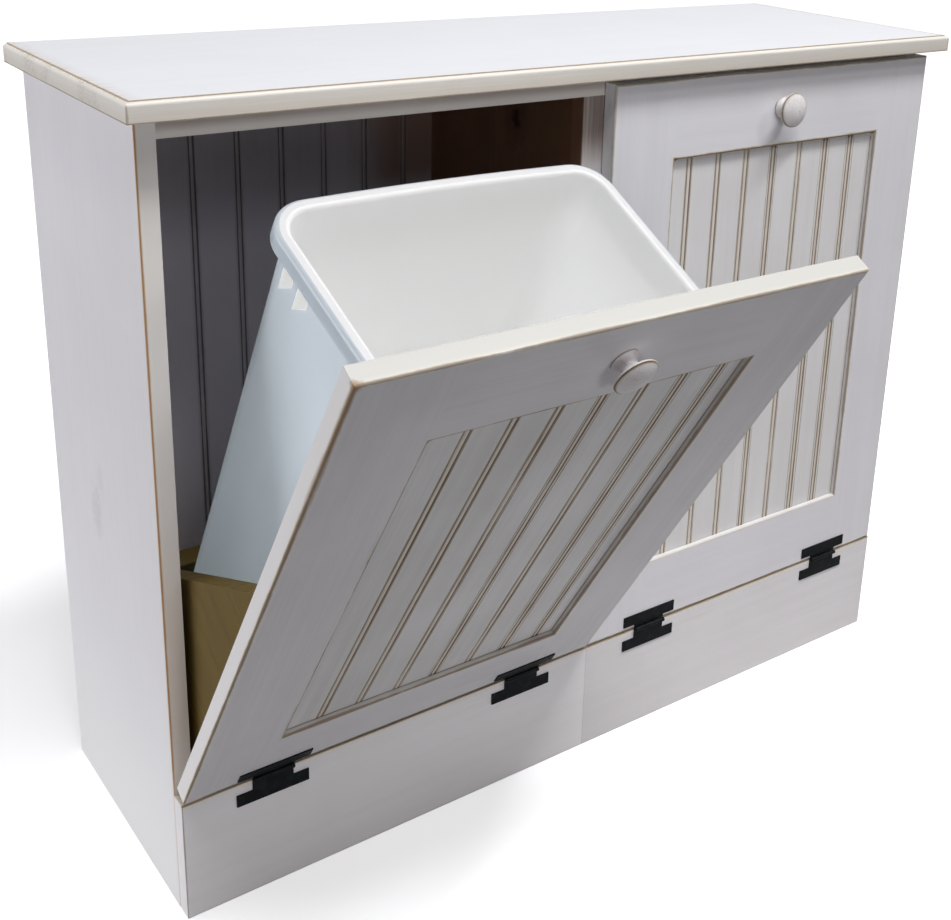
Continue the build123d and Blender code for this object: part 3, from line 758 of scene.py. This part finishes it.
    def dress_base(self) -> None:
        """Paints the two base boards as one face, with their seam."""
        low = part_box("left_base_board")[0]
        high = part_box("right_base_board")[1]
        # Each half takes its own paint, paler on the left and darker on the right: painted light and shade.
        for side, paint in (("left", LEFT_BASE_PAINTED_LIGHT), ("right", RIGHT_BASE_PAINTED_SHADE)):
            finish = self.painted(f"{side}_base_board", paint, Grain.ALONG_X)
            graph = finish.graph
            x, y, z = graph.split(finish.place)
            below = graph.mm_from(high.z, z)
            deep = graph.mm_from(y, low.y)
            upper = graph.reach(below, deep)
            ledge = graph.fade(below, 0.3, 0.9)
            finish.tint(ledge, finish.paint.cream, 0.7)
            finish.tint(graph.fade(upper, 1.0, 7.0), finish.paint.cream, 0.55)
            finish.line(upper, 2.0, 0.35, 16.0, 0.9)
            finish.smear(below, 40.0, 9.0, 0.12)
            ends = graph.mm_from(high.x, graph.maths("ABSOLUTE", x))
            finish.line(graph.reach(ends, deep), 1.5, 0.4, 18.0, 0.75)
            finish.line(graph.reach(graph.mm_from(z, low.z), deep), 1.2, 0.7, 14.0, 0.45)
            seam = graph.maths("ABSOLUTE", graph.product(x, PER_METRE))
            finish.line(seam, 0.8, 0.6, 30.0, 0.35, finish.paint.stain)
            wear_material(f"{side}_base_board", finish.close())
        LOG.info("base boards painted")

    def dress_back(self) -> None:
        """Paints the back, beaded inside and flat outside, dark grey inside as painted shade, with painted
        light low down and painted brown bounce from the divider beside it.
        """
        finish = self.painted("back_panel", BACK_SHADED_GREY, Grain.ALONG_Z)
        graph = finish.graph
        x, y, z = graph.split(finish.place)
        beads = graph.use(self.effects.beads, Across=x, First=self.back_bead_first,
                          Pitch=self.back_bead_pitch, Half_Gap=self.bead_half_gap)
        face = graph.fade(graph.mm_from(y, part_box("back_panel")[0].y), 2.5, 3.5)
        streaks = graph.streaks(finish.place, Grain.ALONG_Z.value, 260.0)
        outside = graph.maths("SUBTRACT", 1.0, face)
        finish.tint(outside, self.back_outside, graph.step(streaks, 0.3, 0.65, 0.74, 0.96))
        # Paler low down inside: painted light that comes in under the rail.
        finish.tint(graph.product(face, graph.step(z, *self.back_painted_light_fall)), self.back_painted_light)
        # Brown high up beside the divider: painted bounce light from the bare pine.
        beside = graph.product(graph.step(x, -0.15, -0.07), graph.step(x, 0.0, -0.02))
        beside = graph.product(beside, graph.step(z, *self.back_painted_bounce_rise))
        finish.tint(graph.product(face, beside), self.back_painted_bounce, 0.85)
        between = graph.fade(beads["Bead"], 3.0, 8.0)
        finish.tint(between, BACK_SHADED_GREY.shade, graph.product(face, 0.35))
        finish.line(beads["Groove"], 1.5, 0.45, 10.0, graph.product(face, 0.75))
        wear_material("back_panel", finish.close())
        LOG.info("back painted")

    def dress_bare_boards(self) -> None:
        """Dresses the boards that were left unpainted."""
        boards = (("left_divider", Grain.ALONG_Z), ("right_divider", Grain.ALONG_Z),
                  ("bottom_board", Grain.ALONG_X), ("left_back_rail", Grain.ALONG_X),
                  ("right_back_rail", Grain.ALONG_X))
        for number, (node, grain) in enumerate(boards):
            shift = Vector((0.37, 0.91, 0.53)) * number
            knot = self.divider_knot if node == "left_divider" else None
            material = pine_material(f"{node}_wood", DIVIDER_PINE, self.effects, grain, Turn(), shift, knot)
            wear_material(node, material)
        for number, side in enumerate(("left", "right")):
            for place in ("outer", "inner"):
                node = f"{side}_{place}_stop_cleat"
                shift = Vector((0.6 * number, 0.2, 0.9))
                wood = pine_material(f"{node}_wood", TRAY_PINE, self.effects, Grain.ALONG_Z, Turn(), shift)
                wear_material(node, wood)
        LOG.info("bare boards dressed")


@dataclass(frozen=True)
class DoorWear:
    """Where one door's glaze shows, and how strongly; the recess wall strengths lay glaze colour as painted
    shade.
    """

    outline: Sides
    recess: Sides
    recess_wall_shade: Sides
    groove: float
    smudge: float
    patches: float


SHUT_WEAR = DoorWear(outline=Sides(0.55, 0.4, 0.95, 0.9), recess=Sides(0.8, 0.75, 0.15, 1.0),
                     recess_wall_shade=Sides(0.0, 0.0, 0.0, 0.85), groove=0.72, smudge=0.5, patches=7.0)
OPEN_WEAR = DoorWear(outline=Sides(1.0, 0.55, 0.5, 0.8), recess=Sides(0.85, 0.85, 0.85, 0.85),
                     recess_wall_shade=Sides(0.0, 0.12, 0.1, 0.1), groove=0.9, smudge=0.8, patches=6.0)


@dataclass
class Door:
    """A tilting door with its tray, knob and hinge leaves."""

    side: str
    turn: Turn
    effects: Effects
    wear: DoorWear
    frame_paint: Paint
    panel_paint: Paint
    middle_bead_mm: float
    knob_mark_mm: tuple[float, float]
    bead_pitch: float = 0.0438
    bead_half_gap: float = 0.00275
    recess_hang: float = 0.007
    edge_painted_light: Colour = (0.92, 0.90, 0.875)
    top_edge_painted_shade: Colour = (0.61, 0.60, 0.555)
    bare_arris: Colour = (0.30, 0.20, 0.12)
    bare_corner: Colour = (0.34, 0.22, 0.13)
    knob_rim_mm: float = 19.0
    knob_rim_out_mm: float = 18.2
    knob_foot_mm: float = 12.8

    def dress(self) -> None:
        """Dresses every piece of the door."""
        self.dress_frame()
        self.dress_panel()
        self.dress_knob()
        self.dress_tray()

    def part(self, name: str) -> str:
        """The full name of one of the door's frame pieces."""
        return f"{self.side}_door_{name}"

    def frame_nodes(self) -> list[str]:
        """The four pieces of the door's frame."""
        return [self.part(name) for name in ("stile_left", "stile_right", "top_rail", "bottom_rail")]

    def outline(self) -> tuple[Vector, Vector]:
        """The middle and the half size of the door's face, with the door shut."""
        low, high = self.turn.shut_box(self.frame_nodes())
        return (Vector(((low.x + high.x) / 2, low.y, (low.z + high.z) / 2)),
                Vector(((high.x - low.x) / 2, 0.0, (high.z - low.z) / 2)))

    def recess(self) -> tuple[Vector, Vector]:
        """The middle and the half size of the recess, with the door shut."""
        face = self.outline()[0].y
        left = self.turn.shut_box([self.part("stile_left")])[1].x
        right = self.turn.shut_box([self.part("stile_right")])[0].x
        bottom = self.turn.shut_box([self.part("bottom_rail")])[1].z
        top = self.turn.shut_box([self.part("top_rail")])[0].z + self.recess_hang
        return (Vector(((left + right) / 2, face, (bottom + top) / 2)),
                Vector(((right - left) / 2, 0.0, (top - bottom) / 2)))

    def dress_frame(self) -> None:
        """Paints the frame as one face: its outer arrises and the arris and walls of the recess, with painted
        shade on the walls, paler edge faces as painted light and a greyer top edge as painted shade.
        """
        centre, half = self.outline()
        inner_centre, inner_half = self.recess()
        for node in self.frame_nodes():
            grain = Grain.ALONG_X if node.endswith("rail") else Grain.ALONG_Z
            finish = PaintedMaterial(f"{node}_finish", self.frame_paint, self.effects, grain, self.turn)
            graph = finish.graph
            outer = finish.rectangle(centre, half, self.wear.outline)
            edge = graph.step(outer["Outside"], -0.9, -0.3)
            edge = graph.product(edge, graph.step(outer["Deep"], 1.0, 2.5))
            top = centre.z + half.z
            upper = graph.step(graph.split(finish.place)[2], top - MM, top)
            # The door's edge faces are painted paler than its face as painted light, and its top edge greyer
            # as painted shade.
            finish.tint(edge, self.edge_painted_light, 0.85)
            finish.tint(graph.product(edge, upper), self.top_edge_painted_shade, 0.95)
            finish.tint(graph.fade(outer["Near"], 1.0, 6.0), finish.paint.cream,
                        graph.product(outer["Side"], 0.45))
            finish.line(outer["Near"], 2.8, 0.6, 12.0, graph.product(outer["Side"], 0.9))
            inner = finish.rectangle(inner_centre, inner_half, self.wear.recess)
            finish.tint(graph.fade(inner["Near"], 2.0, 6.0), finish.paint.cream, 0.3)
            finish.line(inner["Near"], 3.1, 0.6, 12.0, inner["Side"])
            finish.smear(inner["Near"], 9.0, 11.0, graph.product(inner["Side"], 0.4))
            # Glaze colour on the recess walls, mostly standing in as painted shade on the walls that face
            # away from the light.
            recess_wall_shade = finish.rectangle(inner_centre, inner_half, self.wear.recess_wall_shade)
            inside = graph.product(graph.fade(recess_wall_shade["Outside"], 0.2, 0.6), graph.step(recess_wall_shade["Deep"], 1.0, 1.8))
            finish.tint(inside, finish.paint.glaze, recess_wall_shade["Side"])
            if self.turn.angle:
                self.rub_corner(finish, outer, centre, half)
            wear_material(node, finish.close())
        LOG.info("%s door frame painted", self.side)

    def rub_corner(self, finish: PaintedMaterial, outer: dict[str, Socket], centre: Vector,
                   half: Vector) -> None:
        """Rubs the open door's upper left corner and the arris below it through to the wood."""
        graph = finish.graph
        x, _, z = graph.split(finish.place)
        beside = graph.mm_from(x, centre.x - half.x)
        high = graph.step(z, centre.z - half.z * 0.1, centre.z + half.z * 0.9)
        arris = graph.reach(beside, outer["Deep"])
        finish.line(arris, 4.2, 0.6, 9.0, graph.product(high, 0.75), self.bare_arris)
        corner = Vector((centre.x - half.x, centre.y, centre.z + half.z))
        finish.spot(corner, 9.0, self.bare_corner, 0.75)

    def dress_panel(self) -> None:
        """Paints the beaded panel, with glaze in its grooves and round its edge."""
        node = self.part("panel")
        centre, half = self.recess()
        finish = PaintedMaterial(f"{node}_finish", self.panel_paint, self.effects, Grain.ALONG_Z, self.turn)
        graph = finish.graph
        x, _, z = graph.split(finish.place)
        first = self.outline()[0].x + self.middle_bead_mm * MM
        beads = graph.use(self.effects.beads, Across=x, First=first, Pitch=self.bead_pitch,
                          Half_Gap=self.bead_half_gap)
        own = graph.maths("MULTIPLY_ADD", beads["Number"], 0.6, 0.7)
        finish.tint(graph.fade(beads["Bead"], 2.0, 10.0), finish.paint.cream, 0.25)
        finish.tint(graph.fade(beads["Bead"], 1.5, 6.0), finish.paint.stain, graph.product(own, 0.42))
        finish.smear(beads["Bead"], 9.0, self.wear.patches, self.wear.smudge)
        # A narrow cream line down each bead's middle: painted highlight on the rounded bead.
        finish.tint(graph.fade(beads["Bead"], 0.4, 1.8), finish.paint.cream, 0.45)
        finish.line(beads["Groove"], graph.product(own, 1.5), 0.6, 8.0, self.wear.groove)
        stray = graph.apart(beads["Bead"], graph.product(own, 5.6))
        finish.line(stray, 0.9, 1.0, 5.0, graph.product(self.wear.groove, 0.8))
        edge = finish.rectangle(centre, half, self.wear.recess)
        inside = graph.maths("ABSOLUTE", edge["Outside"])
        finish.tint(graph.fade(inside, 1.0, 6.0), finish.paint.stain, graph.product(edge["Side"], 0.35))
        finish.line(inside, 1.5, 0.5, 14.0, graph.product(edge["Side"], 0.9))
        ends = graph.mm_from(half.z, graph.apart(z, centre.z))
        marks = graph.product(graph.fade(beads["Groove"], 1.0, 3.0),
                              graph.fade(ends, 1.5, 6.0), graph.step(beads["Number"], 0.2, 0.7))
        finish.tint(marks, finish.paint.soot, graph.product(edge["Side"], 0.9))
        wear_material(node, finish.close())
        LOG.info("%s door panel painted", self.side)

    def dress_knob(self) -> None:
        """Paints the knob, with glaze round its turned rim and its foot, a dark mark and a fine crackle."""
        node = f"{self.side}_knob"
        face = self.outline()[0].y
        low, high = self.turn.shut_box([node])
        finish = PaintedMaterial(f"{node}_finish", KNOB_SHADED_WHITE, self.effects, Grain.ALONG_Z, self.turn)
        graph = finish.graph
        centre = Vector(((low.x + high.x) / 2, 0.0, (low.z + high.z) / 2))
        off = graph.vector("SUBTRACT", finish.place, centre)
        radius = graph.product(graph.vector("LENGTH", graph.vector("MULTIPLY", off, (1, 0, 1))), PER_METRE)
        out = graph.mm_from(face, graph.split(finish.place)[1])
        rim = graph.reach(graph.maths("SUBTRACT", radius, self.knob_rim_mm),
                          graph.maths("SUBTRACT", out, self.knob_rim_out_mm))
        finish.tint(graph.fade(rim, 0.8, 2.6), finish.paint.stain, 0.45)
        finish.line(rim, 1.4, 0.5, 50.0, 0.85)
        foot = graph.reach(graph.maths("SUBTRACT", radius, self.knob_foot_mm), out)
        finish.line(foot, 1.6, 0.4, 60.0, 0.6)
        cracks = graph.node("TexVoronoi", feature="DISTANCE_TO_EDGE")
        graph.feed(cracks.inputs["Vector"], finish.place)
        cracks.inputs["Scale"].default_value = 210.0
        patch = graph.step(graph.noise(finish.place, 90.0, 2.0, 0.5), 0.42, 0.62)
        finish.tint(graph.product(graph.fade(cracks.outputs["Distance"], 0.0, 0.06), patch),
                    finish.paint.stain, 0.5)
        across, up = self.knob_mark_mm
        mark = Vector((centre.x + across * MM, low.y + 0.8 * MM, centre.z + up * MM))
        finish.spot(mark, 1.6, finish.paint.soot, 0.95)
        wear_material(node, finish.close())
        LOG.info("%s knob painted", self.side)

    def dress_tray(self) -> None:
        """Dresses the tray's bare boards."""
        boards = (("tray_side_left", Grain.ALONG_Y), ("tray_side_right", Grain.ALONG_Y),
                  ("tray_floor", Grain.ALONG_X), ("tray_front_strip", Grain.ALONG_X),
                  ("tray_back_strip", Grain.ALONG_X))
        for number, (part, grain) in enumerate(boards):
            node = f"{self.side}_{part}"
            shift = Vector((0.41, 0.23, 0.77)) * (number + 1)
            wood = pine_material(f"{node}_wood", TRAY_PINE, self.effects, grain, self.turn, shift)
            wear_material(node, wood)
        LOG.info("%s tray dressed", self.side)


@dataclass
class Ironwork:
    """Hinge leaves, pins and screws."""

    black: Colour = (0.003, 0.004, 0.005)
    worn: Colour = (0.009, 0.012, 0.013)

    def dress(self) -> None:
        """Dresses every piece of metal."""
        black = self.metal("black_iron", 0.42, 0.0)
        steel = self.metal("dark_steel", 0.34, 0.5)
        for node in frame["nodes"]:
            if "hinge" in node:
                wear_material(node, black)
            elif "screw" in node:
                wear_material(node, steel)
        LOG.info("ironwork dressed")

    def metal(self, name: str, roughness: float, metallic: float) -> bpy.types.Material:
        """A black coated metal with a fine skin.

        Args:
            name: the material's name.
            roughness: its middle roughness.
            metallic: how much bare metal shows.

        Returns:
            The material.
        """
        material, graph = blank_material(name)
        place = graph.node("TexCoord").outputs["Object"]
        grit = graph.noise(place, 1500.0, 3.0, 0.6)
        patches = graph.step(graph.noise(place, 90.0, 4.0, 0.6), 0.45, 0.7)
        shader = graph.node("BsdfPrincipled")
        graph.feed(shader.inputs["Base Color"], graph.mix(patches, self.black, self.worn))
        graph.feed(shader.inputs["Roughness"], graph.maths("MULTIPLY_ADD", grit, 0.25, roughness - 0.1))
        shader.inputs["Metallic"].default_value = metallic
        shader.inputs["Specular IOR Level"].default_value = 0.14
        graph.feed(shader.inputs["Normal"], graph.bump(grit, 0.15, 0.0003))
        graph.show(shader)
        return material


@dataclass
class WasteBin:
    """A moulded waste bin whose plastic lets a little light through, with a painted glow on its inner faces.
    """

    side: str
    turn: Turn
    inner: Colour = (0.955, 0.96, 0.955)
    outer: Colour = (0.58, 0.67, 0.75)
    scuff: Colour = (0.95, 0.95, 0.955)
    glow: float = 0.14

    def dress(self) -> None:
        """Dresses the bin in satin moulded plastic, darker and cooler on the outside as partly painted shade,
        with painted light glowing from its inner faces.
        """
        node = f"{self.side}_bin"
        material, graph = blank_material(f"{node}_plastic")
        place = self.turn.place(graph)
        low, high = self.turn.shut_box([node])
        away = graph.vector("SUBTRACT", place, (low + high) / 2)
        sideways = graph.vector("MULTIPLY", away, (1.0, 1.0, 0.0))
        facing = graph.vector("DOT_PRODUCT", sideways, self.turn.normal(graph))
        inside = graph.fade(facing, -0.05, -0.01)
        lit = graph.fade(facing, 0.02, 0.06)
        cloud = graph.step(graph.noise(place, 6.0, 4.0, 0.55), 0.3, 0.7)
        grain = graph.noise(place, 1400.0, 2.0, 0.5)
        flow = graph.noise(graph.vector("MULTIPLY", place, (1.0, 1.0, 0.15)), 40.0, 2.0, 0.5)
        # Darker, bluer outside and white inside: partly painted shade on the outside, painted light inside.
        colour = graph.mix(lit, self.outer, self.inner)
        shader = graph.node("BsdfPrincipled")
        # The inner faces glow, though the bin is no lamp: painted light in its mouth.
        graph.feed(shader.inputs["Emission Color"], graph.mix(inside, (0.0, 0.0, 0.0), self.inner))
        shader.inputs["Emission Strength"].default_value = self.glow
        graph.feed(shader.inputs["Base Color"], graph.mix(cloud, colour, self.scuff, "MULTIPLY"))
        graph.feed(shader.inputs["Roughness"], graph.maths("MULTIPLY_ADD", flow, 0.18, 0.32))
        shader.inputs["Subsurface Weight"].default_value = 0.7
        shader.inputs["Subsurface Radius"].default_value = (0.018, 0.019, 0.020)
        shader.inputs["Subsurface Scale"].default_value = 1.0
        height = graph.maths("ADD", graph.product(grain, 0.4), flow)
        graph.feed(shader.inputs["Normal"], graph.bump(height, 0.05, 0.0006))
        graph.show(shader)
        wear_material(node, material)
        LOG.info("%s bin dressed", self.side)


@dataclass(frozen=True)
class Lamp:
    """A soft lamp that hangs some way off and shines at the cabinet.

    A white card at the cabinet that faces the lamp renders at the lamp's level by its light alone.
    """

    name: str
    way: tuple[float, float, float]
    distance: float
    wide: float
    tall: float
    level: float
    colour: Colour

    def hang(self, aim: Vector) -> None:
        """Puts the lamp in the scene."""
        way = Vector(self.way).normalized()
        data = bpy.data.lights.new(self.name, "AREA")
        data.shape = "RECTANGLE"
        data.size = self.wide
        data.size_y = self.tall
        data.energy = self.level * (math.pi * self.distance) ** 2
        data.color = self.colour
        lamp = bpy.data.objects.new(self.name, data)
        bpy.context.scene.collection.objects.link(lamp)
        lamp.location = aim + way * self.distance
        lamp.rotation_euler = (-way).to_track_quat("-Z", "Y").to_euler()


@dataclass(frozen=True)
class Studio:
    """The camera, the pale floor, the backdrop and the lamps."""

    camera_place: tuple[float, float, float] = (-0.891791, -1.249067, 1.055183)
    camera_turn_deg: tuple[float, float, float] = (71.41338811, -2.30682469, -36.87914552)
    lens_mm: float = 51.5246
    shift: tuple[float, float] = (-0.0951630, -0.1766562)
    aim: tuple[float, float, float] = (0.0, -0.1, 0.5)
    floor_half: float = 30.0
    floor_near: float = 0.65
    floor_far: float = 1.6
    ambient: Colour = (0.128, 0.118, 0.123)
    bounce: Colour = (0.50, 0.49, 0.495)
    far_bounce: Colour = (0.09, 0.088, 0.09)
    bounce_near: float = 0.6
    bounce_far: float = 1.5
    lamps: tuple[Lamp, ...] = (
        Lamp("strip_lamp", (0.3, -1.0, 2.5), 3.8, 3.2, 0.22, 0.92, (0.985, 0.99, 1.01)),
        Lamp("right_lamp", (1.1, -1.0, 1.35), 4.0, 0.4, 0.4, 0.13, (0.98, 0.99, 1.02)),
        Lamp("front_lamp", (-0.15, -1.0, 0.12), 4.2, 1.4, 1.4, 0.13, (0.98, 0.98, 1.0)),
        Lamp("left_lamp", (-1.0, 0.52, 0.04), 4.4, 2.8, 2.4, 0.80, (0.97, 0.98, 1.02)),
    )

    def build(self) -> None:
        """Builds all of it."""
        self.place_camera()
        self.lay_floor()
        self.set_world()
        for lamp in self.lamps:
            lamp.hang(Vector(self.aim))
        bpy.context.scene.view_settings.view_transform = "Standard"
        LOG.info("studio built")

    def place_camera(self) -> None:
        """Sets the camera where the photograph was taken from."""
        data = bpy.data.cameras.new("camera")
        data.lens = self.lens_mm
        data.shift_x, data.shift_y = self.shift
        camera = bpy.data.objects.new("camera", data)
        bpy.context.scene.collection.objects.link(camera)
        camera.location = self.camera_place
        camera.rotation_euler = [math.radians(turn) for turn in self.camera_turn_deg]
        bpy.context.scene.camera = camera

    def lay_floor(self) -> None:
        """Lays a floor that looks white, keeps the shadow and throws back a plain grey light."""
        bpy.ops.mesh.primitive_plane_add(size=2 * self.floor_half)
        floor = bpy.context.active_object
        floor.name = "floor"
        material, graph = blank_material("floor_white")
        seen = graph.node("LightPath").outputs["Is Camera Ray"]
        away = graph.vector("LENGTH", graph.node("TexCoord").outputs["Object"])
        glow = graph.step(away, self.floor_near, self.floor_far, 0.45, 1.0)
        shader = graph.node("BsdfPrincipled")
        near = graph.fade(away, self.bounce_near, self.bounce_far)
        thrown = graph.mix(near, self.far_bounce, self.bounce)
        graph.feed(shader.inputs["Base Color"], graph.mix(seen, thrown, (0.93, 0.93, 0.93)))
        shader.inputs["Roughness"].default_value = 0.9
        shader.inputs["Specular IOR Level"].default_value = 0.0
        shown = graph.mix(graph.product(seen, glow), (0, 0, 0), (1, 1, 1))
        graph.feed(shader.inputs["Emission Color"], shown)
        shader.inputs["Emission Strength"].default_value = 1.0
        graph.show(shader)
        floor.data.materials.append(material)

    def set_world(self) -> None:
        """Sets a plain ambient light, and white where the camera and reflections look past the floor."""
        world = bpy.data.worlds.new("studio_world")
        world.use_nodes = True
        world.node_tree.nodes.clear()
        graph = Graph(world.node_tree)
        path = graph.node("LightPath")
        seen = graph.maths("MAXIMUM", path.outputs["Is Camera Ray"], path.outputs["Is Transmission Ray"])
        soft = graph.mix(path.outputs["Is Glossy Ray"], self.ambient, (0.6, 0.6, 0.6))
        back = graph.node("Background")
        graph.feed(back.inputs["Color"], graph.mix(seen, soft, (1, 1, 1)))
        out = graph.node("OutputWorld")
        graph.feed(out.inputs["Surface"], back.outputs["Background"])
        bpy.context.scene.world = world


def open_turn() -> Turn:
    """The turn between the left door's rest place and its shut one, read from its joint."""
    joint = next(one for one in frame["joints"] if one["name"] == "left_door_tilt")
    return Turn(math.radians(-min(joint["range_deg"])), Vector(joint["pos_m"]))


def main() -> None:
    """Builds the looks of the whole cabinet."""
    logging.basicConfig(level=logging.INFO, format="%(name)s: %(message)s")
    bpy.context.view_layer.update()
    effects = Effects()
    Case(effects).dress()
    doors = (
        Door("left", open_turn(), effects, OPEN_WEAR, OPEN_DOOR_SHADED_WHITE, OPEN_PANEL_SHADED_WHITE, 11.0, (4.0, -13.5)),
        Door("right", Turn(), effects, SHUT_WEAR, DOOR_WHITE, PANEL_WHITE, -2.5, (2.5, -0.6)),
    )
    for door in doors:
        door.dress()
        WasteBin(door.side, door.turn).dress()
    Ironwork().dress()
    Studio().build()


if __name__ == "__main__":
    main()
